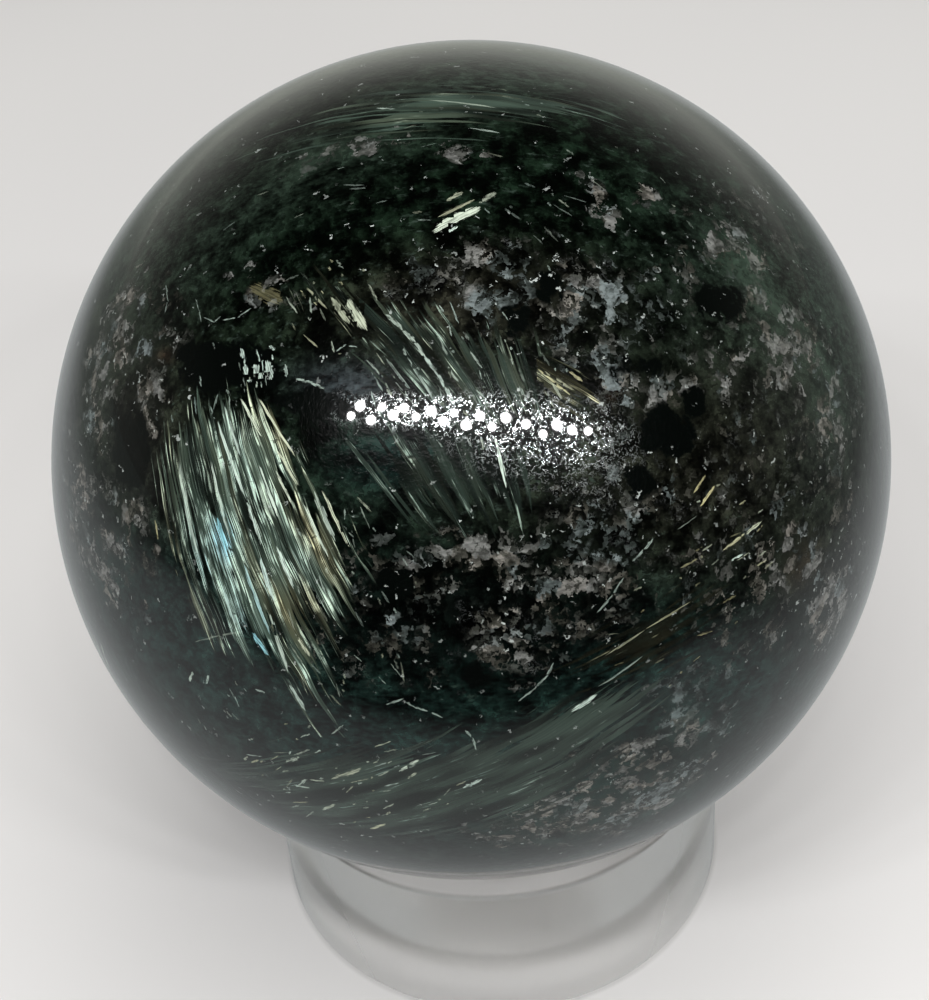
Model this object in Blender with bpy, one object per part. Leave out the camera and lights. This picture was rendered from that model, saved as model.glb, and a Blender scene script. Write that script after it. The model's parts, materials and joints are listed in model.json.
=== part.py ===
"""A polished sphere of astrophyllite-bearing rock resting on a clear acrylic ring stand.

Metres, +Z up. The origin is the centre of the stand's flat foot.
"""

import math

import bmesh
import bpy

# Driving dimensions
SPHERE_DIAMETER = 0.058
STAND_DIAMETER = 0.0352
STAND_HEIGHT = 0.014
BORE_DIAMETER = 0.0164
SEAT_DIAMETER = 0.0244
FOOT_BEVEL = 0.0012
EDGE_ROUND = 0.0004
SEAT_GAP = 0.0003

# How finely the round shapes are divided
SPHERE_SEGMENTS = 72
SPHERE_RINGS = 36
STAND_STEPS = 96
EDGE_ROUND_STEPS = 3

# Sharp edges are those that turn by more than this
SHARP_ANGLE = math.radians(28)

# Finishes: colour, roughness and how much light passes through
STONE_FINISH = {"color": (0.035, 0.048, 0.042, 1.0), "roughness": 0.12, "ior": 1.6, "transmission": 0.0}
ACRYLIC_FINISH = {"color": (0.93, 0.95, 0.94, 1.0), "roughness": 0.04, "ior": 1.49, "transmission": 1.0}


def clear_scene():
    for leftover in list(bpy.data.objects):
        bpy.data.objects.remove(leftover, do_unlink=True)


def make_material(name, finish):
    material = bpy.data.materials.new(name)
    material.use_nodes = True
    shader = material.node_tree.nodes["Principled BSDF"]
    shader.inputs["Base Color"].default_value = finish["color"]
    shader.inputs["Roughness"].default_value = finish["roughness"]
    shader.inputs["Metallic"].default_value = 0.0
    shader.inputs["IOR"].default_value = finish["ior"]
    shader.inputs["Transmission Weight"].default_value = finish["transmission"]
    return material


def make_object(name, shape, material):
    """Turns a bmesh into a named, smooth shaded object."""
    mesh = bpy.data.meshes.new(name)
    bmesh.ops.recalc_face_normals(shape, faces=shape.faces)
    shape.to_mesh(mesh)
    shape.free()
    mesh.shade_smooth()
    mesh.set_sharp_from_angle(angle=SHARP_ANGLE)
    mesh.materials.append(material)
    made = bpy.data.objects.new(name, mesh)
    bpy.context.scene.collection.objects.link(made)
    return made


def sphere_centre_height():
    """Height at which the sphere hangs one gap clear of the round edge of its seat."""
    reach = SPHERE_DIAMETER / 2 + SEAT_GAP
    seat_radius = SEAT_DIAMETER / 2
    return STAND_HEIGHT + math.sqrt(reach**2 - seat_radius**2)


def rounded_corner(radius, height, turn_from, turn_to):
    """Points of a quarter round whose centre is at the given radius and height."""
    points = []
    for step in range(EDGE_ROUND_STEPS + 1):
        angle = turn_from + (turn_to - turn_from) * step / EDGE_ROUND_STEPS
        points.append((radius + EDGE_ROUND * math.cos(angle), height + EDGE_ROUND * math.sin(angle)))
    return points


def stand_outline():
    """Closed outline of the ring's wall, as radius and height, from the foot's inner edge outwards."""
    bore = BORE_DIAMETER / 2
    outer = STAND_DIAMETER / 2
    seat = SEAT_DIAMETER / 2
    seat_depth = seat - bore
    foot = [(bore + FOOT_BEVEL, 0.0)]
    lower_edge = rounded_corner(outer - EDGE_ROUND, EDGE_ROUND, -math.pi / 2, 0.0)
    upper_edge = rounded_corner(outer - EDGE_ROUND, STAND_HEIGHT - EDGE_ROUND, 0.0, math.pi / 2)
    seat_edge = [(seat, STAND_HEIGHT)]
    bore_wall = [(bore, STAND_HEIGHT - seat_depth), (bore, FOOT_BEVEL)]
    return foot + lower_edge + upper_edge + seat_edge + bore_wall


def build_sphere():
    """The stone: one polished ball, with no joint or cut in it."""
    shape = bmesh.new()
    bmesh.ops.create_uvsphere(
        shape, u_segments=SPHERE_SEGMENTS, v_segments=SPHERE_RINGS, radius=SPHERE_DIAMETER / 2
    )
    stone = make_object("stone_sphere", shape, make_material("polished_stone", STONE_FINISH))
    stone.location.z = sphere_centre_height()
    return stone


def build_stand():
    """The ring: a thick wall turned about Z, with a 45 degree seat at the top of its bore."""
    shape = bmesh.new()
    profile = [shape.verts.new((radius, 0.0, height)) for radius, height in stand_outline()]
    edges = [
        shape.edges.new((point, profile[(index + 1) % len(profile)])) for index, point in enumerate(profile)
    ]
    bmesh.ops.spin(
        shape,
        geom=profile + edges,
        cent=(0.0, 0.0, 0.0),
        axis=(0.0, 0.0, 1.0),
        angle=2 * math.pi,
        steps=STAND_STEPS,
        use_merge=True,
    )
    return make_object("ring_stand", shape, make_material("clear_acrylic", ACRYLIC_FINISH))


clear_scene()
build_stand()
build_sphere()
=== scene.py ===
"""Looks of a polished ball of astrophyllite-bearing rock that rests in a clear acrylic ring stand.

The stone's sprays, blades and patches are laid out as the front view shows them, in that view's
pixels, and are then worked out on the ball itself. The other sides get their own, at random from
a fixed seed. Lengths are in metres, except where a name or a comment says millimetres or pixels.
"""

import json
import math
from typing import NamedTuple

import bpy
import numpy as np
from mathutils import Matrix, Vector

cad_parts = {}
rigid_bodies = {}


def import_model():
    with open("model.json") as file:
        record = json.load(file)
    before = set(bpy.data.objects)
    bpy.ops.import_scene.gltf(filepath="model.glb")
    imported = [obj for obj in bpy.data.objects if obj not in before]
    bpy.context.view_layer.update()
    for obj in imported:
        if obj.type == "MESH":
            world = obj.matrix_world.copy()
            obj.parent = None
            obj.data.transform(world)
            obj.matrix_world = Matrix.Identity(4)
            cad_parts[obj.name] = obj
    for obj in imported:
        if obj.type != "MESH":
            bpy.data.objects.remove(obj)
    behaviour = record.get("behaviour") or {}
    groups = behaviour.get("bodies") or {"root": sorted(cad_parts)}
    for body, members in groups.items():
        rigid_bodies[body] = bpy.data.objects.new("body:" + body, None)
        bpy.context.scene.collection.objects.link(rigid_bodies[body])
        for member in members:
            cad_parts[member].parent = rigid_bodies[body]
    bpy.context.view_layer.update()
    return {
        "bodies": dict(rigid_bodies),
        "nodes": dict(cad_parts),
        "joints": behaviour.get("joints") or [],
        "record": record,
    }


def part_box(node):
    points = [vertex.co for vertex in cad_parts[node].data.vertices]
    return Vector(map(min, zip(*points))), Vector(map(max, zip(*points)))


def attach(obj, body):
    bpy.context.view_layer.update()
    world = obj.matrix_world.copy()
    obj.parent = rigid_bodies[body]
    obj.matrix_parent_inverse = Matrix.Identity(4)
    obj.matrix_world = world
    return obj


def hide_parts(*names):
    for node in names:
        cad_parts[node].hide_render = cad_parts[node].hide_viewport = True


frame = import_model()

# The ball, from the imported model
ball_low, ball_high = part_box("stone_sphere")
BALL_CENTRE = np.array((ball_low + ball_high) / 2)
BALL_RADIUS = (ball_high.z - ball_low.z) / 2
BALL_MM = BALL_RADIUS * 1000

# The front view: where the ball's outline sits in the frame, in pixels, and where it is seen from
FRAME_WIDE = 929
FRAME_HIGH = 1000
OUTLINE_X = 471
OUTLINE_Y = 461.5
OUTLINE_RADIUS = 420
EYE_DISTANCE = 5.0  # in ball radii
EYE_RISE = math.radians(40)
EYE_ROLL = math.radians(-4.7)
FOCAL_PIXELS = OUTLINE_RADIUS * math.sqrt(EYE_DISTANCE**2 - 1)
SENSOR_MM = 36.0
CLIP_NEAR = 0.001
CLIP_FAR = 20.0


def rows_of(kind, *rows):
    """Rows of values, each made one thing of a kind."""
    return tuple(kind(*row) for row in rows)


class Oval(NamedTuple):
    """A patch as the front view shows it: middle, half sizes and anticlockwise tilt in degrees."""

    x: float
    y: float
    wide: float
    high: float
    tilt: float = 0.0


class Fan(NamedTuple):
    """A spray of fibres in the front view, and its looks.

    The fibres run from its middle towards a second pixel, and meet in a focus that lies the
    spread behind the middle, in degrees: 90 keeps them side by side.
    """

    middle: tuple
    towards: tuple
    spread: float
    glow: float
    gold: float
    blades: float
    silk: float
    ovals: tuple


class Blade(NamedTuple):
    """One bright blade in the front view, with its width in pixels, and how bright and golden it is."""

    start: tuple
    end: tuple
    width: float
    glow: float
    gold: float = 0.0


class Thread(NamedTuple):
    """A thin ragged line through several pixels of the front view, with the looks of a blade."""

    points: tuple
    width: float
    glow: float
    gold: float = 0.0


class Mood(NamedTuple):
    """A part of a spray that is more golden (1) or icier (-1) than the rest, or brighter or dimmer."""

    oval: Oval
    warmth: float
    light: float


class Wash(NamedTuple):
    """A soft change of the ground's colour in the front view, and how much it evens the ground out."""

    oval: Oval
    color: tuple
    calm: float = 0.0


class Flecks(NamedTuple):
    """Short blades strewn round a place of the front view, all heading for one other pixel."""

    place: tuple
    towards: tuple
    count: int
    reach: float
    glow: float
    gold: float


# Colours of the stone, linear
DEEP_GREEN = (0.0026, 0.0058, 0.0033)
TEAL = (0.0046, 0.0130, 0.0112)
UMBER = (0.0150, 0.0150, 0.0105)
BLACK = (0.0010, 0.0016, 0.0013)
RUST = (0.0260, 0.0100, 0.0060)
MIST = (0.0110, 0.0180, 0.0130)
# Painted haze of the lamp's reflection, laid on the ground left of the lamp
PAINTED_LAMP_HAZE = (0.0280, 0.0360, 0.0400)
GREEN_FLECKS = (0.040, 0.060, 0.048)
# Pale fibre colours: the fibres' own colour with painted sheen
PALE_SILK_AND_SHEEN = (0.68, 0.90, 0.76)
GOLDEN_SILK_AND_SHEEN = (0.84, 0.84, 0.54)
ICY_SILK_AND_SHEEN = (0.50, 0.88, 0.98)
GREEN_BODY = (0.023, 0.036, 0.028)
GOLDEN_BODY = (0.036, 0.036, 0.020)
PALE_BLADES = (0.60, 0.74, 0.66)
GOLDEN_BLADES = (0.62, 0.58, 0.32)
ICY_BLADES = (0.28, 0.62, 0.70)
SPARKLES = (0.46, 0.50, 0.48)
MICA_FLAKES = (0.50, 0.54, 0.54)
BROWNISH = (1.04, 0.97, 0.91)
BLUISH = (0.84, 0.97, 1.02)
CRYSTAL_GREYS = (
    (0.46, (0.0004, 0.0005, 0.0004)),
    (0.58, (0.0014, 0.0015, 0.0012)),
    (0.69, (0.0070, 0.0074, 0.0060)),
    (0.80, (0.0275, 0.0295, 0.0255)),
    (0.91, (0.0690, 0.0712, 0.0658)),
    (1.00, (0.1430, 0.1460, 0.1390)),
)

FANS = (
    # The large spray at the left
    Fan(
        (250, 520), (270, 573), spread=60, glow=1.0, gold=0.3, blades=0.8, silk=1.2,
        ovals=(
            Oval(226, 473, 67, 72),
            Oval(252, 542, 105, 60, -22),
            Oval(250, 600, 58, 50),
            Oval(290, 650, 27, 66, 22),
        ),
    ),
    # Golden flecks above the middle
    Fan(
        (338, 308), (358, 334), spread=30, glow=0.7, gold=0.5, blades=0.5, silk=0.3,
        ovals=(Oval(350, 316, 26, 15, -40), Oval(306, 298, 14, 11, -35)),
    ),
    # Long thin fibres that run into the middle
    Fan(
        (430, 360), (411, 335), spread=27, glow=0.55, gold=0.25, blades=0.3, silk=0.6,
        ovals=(Oval(418, 352, 74, 36, -42), Oval(490, 378, 60, 40, -20)),
    ),
    # Fibres below the middle
    Fan(
        (455, 470), (436, 430), spread=30, glow=0.4, gold=0.05, blades=0.3, silk=0.45,
        ovals=(Oval(455, 470, 70, 48, -15),),
    ),
    # Golden blades at the right of the middle
    Fan(
        (560, 385), (578, 397), spread=30, glow=0.5, gold=0.8, blades=0.5, silk=0.4,
        ovals=(Oval(560, 385, 30, 17, -35),),
    ),
    # Streaks that follow the upper edge
    Fan(
        (455, 106), (475, 107), spread=85, glow=0.25, gold=0.2, blades=0.15, silk=1.2,
        ovals=(Oval(450, 104, 130, 18, -3),),
    ),
    # Blue-green silk near the lower edge
    Fan(
        (470, 795), (500, 783), spread=75, glow=0.25, gold=-0.2, blades=0.12, silk=0.75,
        ovals=(Oval(420, 795, 190, 50, 14), Oval(570, 735, 90, 30, 25)),
    ),
    # Fine golden fibres at the lower right
    Fan(
        (660, 635), (690, 617), spread=60, glow=0.22, gold=0.9, blades=0.3, silk=0.2,
        ovals=(Oval(660, 635, 75, 22, 32),),
    ),
)

MOODS = rows_of(
    Mood,
    (Oval(278, 428, 16, 44, 30), 0.55, 0.45), (Oval(308, 535, 16, 50, 28), 0.7, -0.35),
    (Oval(243, 425, 12, 30, 20), 0.0, 0.5), (Oval(207, 560, 20, 60, 12), -0.6, 0.5),
    (Oval(225, 535, 10, 22, 10), -1.6, 0.4), (Oval(258, 635, 22, 52, 22), -0.8, 0.4),
    (Oval(262, 480, 24, 60, 18), -0.2, 0.3), (Oval(300, 560, 14, 40, 25), -0.4, 0.2),
    (Oval(245, 590, 20, 30, 20), 0.0, 0.3), (Oval(190, 610, 40, 40), 0.2, -0.5),
    (Oval(290, 610, 30, 30), 0.5, -0.5), (Oval(165, 540, 16, 60, 5), 0.4, -0.3),
    (Oval(235, 430, 60, 30), 0.0, -0.35), (Oval(255, 550, 60, 46), 0.0, 0.25),
)

MICA = (Oval(430, 412, 100, 17, -4), Oval(545, 438, 72, 38, -10))

BLADES = rows_of(
    Blade,
    # The large spray
    ((216, 416), (247, 501), 3.2, 0.9, 0.1), ((247, 501), (262, 545), 3.5, 0.9, 0.1),
    ((224, 405), (241, 457), 3.2, 0.7), ((240, 397), (262, 437), 3.0, 0.9, 0.4),
    ((257, 395), (296, 458), 2.6, 0.9, 0.5), ((275, 447), (299, 487), 2.6, 0.8, 0.5),
    ((276, 471), (293, 506), 2.6, 0.9, 0.4), ((259, 464), (278, 517), 2.8, 1.0, 0.2),
    ((210, 456), (231, 541), 2.4, 0.8, 0.2), ((179, 458), (199, 560), 5.0, 0.6, 0.15),
    ((303, 502), (330, 560), 2.8, 1.0, 0.3), ((314, 492), (335, 541), 5.0, 0.5, 0.2),
    ((322, 489), (349, 548), 3.0, 0.9, 0.5), ((217, 517), (227, 551), 4.5, 0.9, -1.0),
    ((260, 557), (274, 602), 4.5, 1.0, -0.2), ((276, 545), (294, 589), 4.2, 1.0, 0.1),
    ((243, 562), (271, 635), 3.8, 0.8, -0.5), ((269, 612), (289, 674), 4.0, 0.7, 0.2),
    ((289, 683), (306, 711), 4.0, 0.6, 0.1), ((294, 632), (311, 658), 3.4, 0.7, 0.5),
    ((223, 589), (236, 626), 4.5, 0.6, -0.3), ((252, 632), (269, 656), 5.0, 0.8, -0.8),
    ((155, 520), (158, 540), 2.6, 0.6, 0.9),
    # Crystals of the small hollow above the large spray
    ((241, 348), (245, 364), 4.0, 0.7), ((245, 364), (250, 383), 7.0, 0.7),
    ((255, 364), (261, 384), 10.0, 0.75, 0.1), ((266, 360), (271, 380), 8.5, 0.65),
    ((257, 353), (261, 360), 4.0, 0.5), ((269, 346), (275, 350), 3.4, 0.6),
    ((285, 364), (287, 377), 3.4, 0.45),
    # The middle
    ((408, 358), (436, 404), 2.6, 0.4), ((384, 356), (412, 392), 2.2, 0.3),
    ((437, 333), (448, 357), 2.4, 0.25, 0.2), ((495, 437), (507, 489), 3.4, 0.9, 0.2),
    ((537, 369), (572, 396), 2.6, 0.6, 0.8), ((544, 371), (576, 392), 2.2, 0.45, 0.6),
    ((569, 371), (583, 382), 2.6, 0.5, 0.8), ((346, 298), (367, 331), 8.5, 0.7, 0.45),
    ((332, 297), (350, 324), 6.5, 0.5, 0.5), ((300, 290), (318, 305), 2.6, 0.45, 0.7),
    ((306, 287), (327, 309), 2.4, 0.4, 0.6), ((250, 286), (283, 302), 14.0, 0.13, 1.0),
    # Lone blades of the upper half
    ((432, 231), (482, 206), 9.5, 1.0, 0.35), ((437, 218), (476, 199), 3.4, 0.4, 0.6),
    ((478, 203), (497, 192), 5.0, 0.35, 0.4), ((446, 201), (463, 192), 4.0, 0.45, 0.5),
    ((448, 232), (458, 226), 3.0, 0.9, 0.1), ((375, 108), (396, 109), 2.2, 0.5, 0.1),
    ((425, 100), (500, 109), 2.4, 0.4, 0.3), ((470, 128), (500, 133), 2.4, 0.4, 0.1),
    # Lone blades of the lower right
    ((700, 507), (716, 484), 3.0, 0.8, 1.0), ((693, 494), (706, 474), 2.4, 0.5, 1.0),
    ((723, 550), (745, 534), 3.6, 0.7, 0.7), ((744, 535), (761, 522), 3.6, 0.8, 0.5),
    ((731, 561), (743, 554), 2.6, 0.9, 0.1), ((605, 656), (646, 629), 1.8, 0.3, 0.6),
    ((644, 630), (690, 602), 1.8, 0.4, 0.7), ((571, 712), (598, 694), 4.5, 0.8, 0.1),
    ((598, 687), (643, 656), 2.2, 0.3),
    # Dashes near the lower edge
    ((399, 771), (420, 759), 3.8, 0.8, 0.3), ((463, 788), (482, 779), 4.5, 0.7),
    ((370, 829), (386, 824), 3.6, 0.7, 0.6), ((286, 762), (300, 757), 4.0, 0.5, 0.3),
    ((298, 786), (307, 779), 3.0, 0.5, 0.2), ((332, 779), (362, 768), 4.5, 0.5, 0.5),
    ((322, 810), (336, 804), 3.6, 0.5, 0.4), ((189, 682), (193, 671), 3.0, 0.6, 0.2),
    ((206, 684), (209, 675), 2.6, 0.6), ((255, 689), (265, 693), 2.6, 0.4),
)

THREADS = rows_of(
    Thread,
    (((388, 316), (401, 328), (414, 341), (425, 357)), 3.4, 0.5, 0.2),
    (((425, 357), (437, 374), (446, 388), (453, 402)), 3.0, 0.55),
    (((388, 704), (402, 699), (414, 707), (427, 711), (441, 717)), 2.2, 0.35),
    (((466, 731), (473, 739), (476, 749)), 2.2, 0.35),
    (((198, 641), (217, 636), (240, 632)), 1.8, 0.2, 0.3),
    (((335, 352), (345, 345), (356, 347)), 1.8, 0.4),
    (((297, 379), (310, 382), (323, 388)), 2.6, 0.45),
    (((166, 286), (168, 300), (165, 312)), 2.0, 0.2),
    (((205, 318), (214, 322), (220, 317)), 1.4, 0.3),
    (((224, 320), (238, 317), (250, 309)), 1.4, 0.35),
    (((196, 300), (199, 310), (201, 321)), 1.4, 0.25),
    # Cracks that follow the border of the dark matrix
    (((520, 700), (535, 688), (547, 676), (553, 664)), 2.2, 0.35),
    (((598, 612), (612, 596), (622, 580)), 2.2, 0.3),
    (((634, 560), (645, 549), (652, 540)), 2.6, 0.35),
)

MATRIX_ZONES = rows_of(
    Oval,
    (142, 340, 42, 70, -15), (95, 480, 48, 120), (540, 290, 120, 48, -12), (650, 350, 100, 50, -20),
    (720, 420, 120, 75, -30), (768, 320, 34, 96, 30), (740, 250, 60, 60, -40), (830, 440, 34, 120),
    (470, 610, 160, 80, 12), (610, 530, 110, 55, 30), (792, 585, 66, 70), (610, 790, 100, 44, 25),
    (570, 828, 90, 20, 12),
)

PALE_GRAINS = rows_of(
    Oval,
    (478, 285, 12, 20, 20), (580, 296, 26, 22), (552, 320, 12, 14), (646, 384, 40, 12, -8),
    (718, 371, 18, 10), (782, 352, 30, 18, -50), (740, 252, 30, 13, -42), (828, 414, 12, 24, 30),
    (571, 580, 26, 16, 10), (627, 488, 14, 15), (496, 647, 19, 16), (430, 590, 20, 12),
    (475, 560, 26, 12), (540, 612, 24, 10, 15), (782, 577, 30, 16, 45), (827, 610, 16, 34, -20),
    (800, 560, 26, 26), (608, 773, 32, 16, 28), (566, 812, 40, 16, 12), (685, 728, 14, 22),
    (128, 300, 12, 24, -30), (150, 350, 16, 20), (95, 400, 12, 28), (112, 340, 20, 40, -20),
    (78, 500, 12, 34), (150, 405, 14, 22), (108, 575, 16, 20), (128, 510, 12, 22),
    (96, 548, 22, 14), (268, 290, 20, 9, -15), (722, 246, 24, 8, -50), (765, 300, 36, 7, -52),
    (810, 352, 36, 8, -58), (333, 151, 14, 5, 15), (300, 166, 12, 3, 20), (372, 143, 14, 4, 10),
    (459, 152, 12, 6), (598, 186, 14, 7, -30), (640, 204, 12, 10), (612, 214, 12, 7, -50),
    (640, 800, 60, 22, 25), (560, 832, 60, 12, 10),
)

BLUE_GRAINS = rows_of(
    Oval,
    (518, 272, 20, 18), (628, 328, 15, 36), (600, 538, 26, 15), (410, 622, 13, 18),
    (700, 690, 40, 20, 20), (690, 762, 56, 7, 50), (500, 300, 18, 14), (645, 300, 30, 22),
    (620, 365, 22, 16),
)

BLACK_GRAINS = rows_of(
    Oval,
    (518, 320, 18, 14), (550, 287, 13, 17), (668, 436, 26, 28), (697, 405, 16, 14),
    (645, 365, 22, 11), (640, 480, 16, 18), (130, 450, 17, 46), (222, 366, 52, 27),
    (318, 405, 34, 16, -10), (560, 836, 7, 4, 10), (470, 675, 22, 14), (395, 590, 22, 16),
    (720, 300, 20, 17),
)

WASHES = rows_of(
    Wash,
    (Oval(610, 391, 9, 11), RUST), (Oval(164, 356, 9, 8), RUST),
    (Oval(805, 560, 16, 34, -20), RUST), (Oval(110, 440, 90, 190), UMBER),
    # The haze left of the lamp's row is a painted reflection of the lamp, not the stone's colour
    (Oval(765, 290, 60, 120, 30), MIST, 0.9), (Oval(350, 386, 46, 22, -8), PAINTED_LAMP_HAZE, 0.8),
    (Oval(780, 470, 100, 110), UMBER), (Oval(470, 300, 130, 46), UMBER),
    (Oval(846, 320, 46, 170, 22), MIST, 0.95), (Oval(470, 84, 230, 24), MIST, 0.8),
    (Oval(165, 195, 36, 110, -42), MIST, 0.8), (Oval(430, 780, 330, 110), TEAL, 0.7),
    (Oval(160, 640, 70, 110, 30), TEAL, 0.6), (Oval(720, 690, 140, 80), TEAL, 0.8),
    (Oval(400, 460, 70, 32), TEAL, 0.3), (Oval(480, 610, 160, 70), BLACK),
)

FLECKS = rows_of(
    Flecks,
    ((320, 775), (360, 755), 46, 5.5, 0.6, 0.4), ((400, 785), (440, 768), 20, 4.0, 0.5, 0.3),
    ((335, 305), (350, 325), 22, 3.0, 0.45, 0.5), ((330, 200), (360, 190), 12, 7.0, 0.18, 0.1),
    ((450, 150), (480, 155), 12, 8.0, 0.2, 0.2), ((560, 170), (590, 190), 18, 7.0, 0.25, 0.1),
    ((620, 230), (640, 250), 14, 6.0, 0.25, 0.1), ((440, 380), (455, 405), 30, 4.5, 0.4, 0.1),
    ((500, 380), (515, 410), 26, 4.0, 0.4, 0.2), ((340, 640), (352, 665), 26, 4.5, 0.35, 0.3),
    ((350, 570), (362, 592), 20, 4.0, 0.35, 0.2), ((210, 390), (214, 405), 14, 3.5, 0.4, 0.0),
    ((730, 540), (750, 525), 16, 4.0, 0.5, 0.5), ((680, 620), (700, 608), 14, 5.0, 0.3, 0.8),
    ((210, 690), (216, 700), 12, 4.0, 0.4, 0.1), ((262, 370), (264, 384), 12, 1.0, 0.9, 0.05),
)

# How many of each kind the hidden sides get
HIDDEN_FLECK_GROUPS = 26
HIDDEN_FLECKS = (24, 6.0, 0.6)  # in each group, their reach in millimetres and their glow
HIDDEN_SPRAYS = 22
HIDDEN_ZONES = 20
HIDDEN_PALE = 44
HIDDEN_BLUE = 11
HIDDEN_BLACK = 30
HIDDEN_WASHES = 16

# The stone's mesh: squares along each edge of the cube that is blown up to the ball
BALL_SQUARES = 120
MAP_INSET = 3 / 1024  # kept free round the ball's map

# How far patches, fans and blades reach, and what keeps the noise of one apart from the next one's
FAR_MM = 20.0  # stands for anywhere outside a patch
FACING = 0.3  # how much a place has to face as a patch does to be near it
FAN_MARGIN_MM = 1.6
FAN_SHIFT = 7.3
BLADE_MARGIN_MM = 0.6
BLADE_SEARCH_MM = 1.5
BLADE_SHIFT = 3.7
THREAD_OVERLAP = 1.3  # so that the blades of a thread meet
HIDDEN_BELOW = 0.18  # a place that faces the eye less than this is on a hidden side
ASKEW = (0.31, 0.42, 0.85)  # a direction to measure turns from
SEED = 20

# The ring stand's turned outline
STAND_WALL_STEPS = 192
BORE_RADIUS = 0.0082
SEAT_RADIUS = 0.0122
FOOT_BEVEL = 0.0012
EDGE_ROUND = 0.0004
EDGE_ROUND_STEPS = 6
SHARP_ANGLE = math.radians(28)
ACRYLIC_COLOR = (0.96, 0.95, 0.935)

# The table top just meets the ring's foot, so that the clear wall shows it
FLOOR_HEIGHT = 0.00005
FLOOR_HALF = 2.5
FLOOR_COLORS = ((0.70, 0.69, 0.69), (0.74, 0.73, 0.725))

# The glowing painted card that only reflections see: greys where it is sheet, open table and far table
CARD_HEIGHT = 0.00010
CARD_RADIUS = 1.2
CARD_STEPS = 96
SHEET_GREY = (0.452, 0.474, 0.474)
# Painted shade on the table before the ball
PAINTED_SHADE_BEFORE_BALL = (0.012, 0.012, 0.012)
OPEN_TABLE = (0.185, 0.205, 0.188)
FAR_TABLE = (0.515, 0.535, 0.480)

# The room's light at heights from 0, straight down, to 1, straight up
ROOM_GREYS = ((0.0, 0.52), (0.17, 0.36), (0.34, 0.17), (0.50, 0.06), (0.65, 0.012), (1.0, 0.008))
ROOM_TINT = (1.0, 1.03, 0.94)

# The large soft light above
SOFT_SIZE = 1.5
SOFT_POWER = 20.5
SOFT_PLACE = (0.2, -0.2, 1.6)
SOFT_COLOR = (1.0, 0.985, 0.955)

# The lamp: a double row of small round lights, at the pixels where the ball mirrors them
LAMP_SPOTS = (
    (351, 416), (360, 406), (371, 420), (382, 407), (393, 415), (404, 408), (416, 417), (431, 411),
    (443, 421), (454, 413), (466, 425), (480, 416), (492, 427), (506, 418), (526, 424), (543, 434),
    (557, 425), (572, 430), (588, 431),
)
LAMP_DISTANCE = 0.45
LAMP_DIAMETERS = (0.016, 0.021, 0.019)
LAMP_POWER = 0.10


def unit(vector):
    """The vector, or each row of vectors, made one long."""
    vector = np.asarray(vector, float)
    return vector / np.linalg.norm(vector, axis=-1, keepdims=True)


def front_axes():
    """Right, up and back of the front view, before it is turned to place the ball in the frame."""
    back = np.array((0.0, -math.cos(EYE_RISE), math.sin(EYE_RISE)))
    level = np.array((1.0, 0.0, 0.0))
    upright = np.cross(back, level)
    right = math.cos(EYE_ROLL) * level + math.sin(EYE_ROLL) * upright
    top = math.cos(EYE_ROLL) * upright - math.sin(EYE_ROLL) * level
    return np.stack((right, top, back), axis=1)


def eye_axes():
    """Right, up and back of the camera, which looks a little past the ball."""
    shown = Vector((OUTLINE_X - FRAME_WIDE / 2, FRAME_HIGH / 2 - OUTLINE_Y, -FOCAL_PIXELS))
    turn = Vector((0, 0, -1)).rotation_difference(shown).to_matrix()
    return FRONT @ np.array(turn).T


FRONT = front_axes()
EYE = BALL_CENTRE + FRONT[:, 2] * EYE_DISTANCE * BALL_RADIUS
EYE_AXES = eye_axes()


def spot(x, y):
    """Direction from the ball's centre to the point that the front view shows at a pixel."""
    ray = EYE_AXES @ unit((x - FRAME_WIDE / 2, FRAME_HIGH / 2 - y, -FOCAL_PIXELS))
    apart = EYE - BALL_CENTRE
    nearest = -ray @ apart
    short = BALL_RADIUS**2 - (apart @ apart - nearest**2)
    return unit(apart + ray * (nearest - math.sqrt(max(short, 0.0))))


class Patch(NamedTuple):
    """An oval on the ball: the direction of its middle and its two half axes in millimetres."""

    middle: np.ndarray
    side: np.ndarray
    rise: np.ndarray


class Spray(NamedTuple):
    """A fan of fibres on the ball, which all point away from its focus."""

    focus: np.ndarray
    patches: tuple
    glow: float
    gold: float
    blades: float
    silk: float


class Stroke(NamedTuple):
    """One blade on the ball: middle, half length and half width in millimetres, and looks."""

    middle: np.ndarray
    along: np.ndarray
    across: np.ndarray
    glow: float
    gold: float


def patch_from_view(oval):
    """The patch of the ball that an oval of the front view shows."""
    turn = math.radians(oval.tilt)
    middle = spot(oval.x, oval.y)
    side = spot(oval.x + oval.wide * math.cos(turn), oval.y - oval.wide * math.sin(turn))
    rise = spot(oval.x - oval.high * math.sin(turn), oval.y - oval.high * math.cos(turn))
    return Patch(middle, (side - middle) * BALL_MM, (rise - middle) * BALL_MM)


def patch_reach(ball, patch):
    """How far each direction lies from the patch's middle: 1 on its edge, large on the other side."""
    axes = np.stack((patch.side, patch.rise), axis=1)
    places = (ball - patch.middle) * BALL_MM @ np.linalg.pinv(axes).T
    reach = np.hypot(places[:, 0], places[:, 1])
    return np.where(ball @ patch.middle > FACING, reach, FAR_MM)


def patch_depth(ball, patch):
    """Depth in millimetres of each direction inside the patch, negative outside."""
    smaller = min(np.linalg.norm(patch.side), np.linalg.norm(patch.rise))
    return np.clip((1 - patch_reach(ball, patch)) * smaller, -FAR_MM, FAR_MM)


def deepest(ball, patches):
    """Depth of each direction in the patch that holds it best."""
    depth = np.full(len(ball), -FAR_MM)
    for patch in patches:
        depth = np.maximum(depth, patch_depth(ball, patch))
    return depth


def heading(middle, towards):
    """Direction along the surface from one place towards another."""
    return unit(towards - middle * (towards @ middle))


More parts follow.
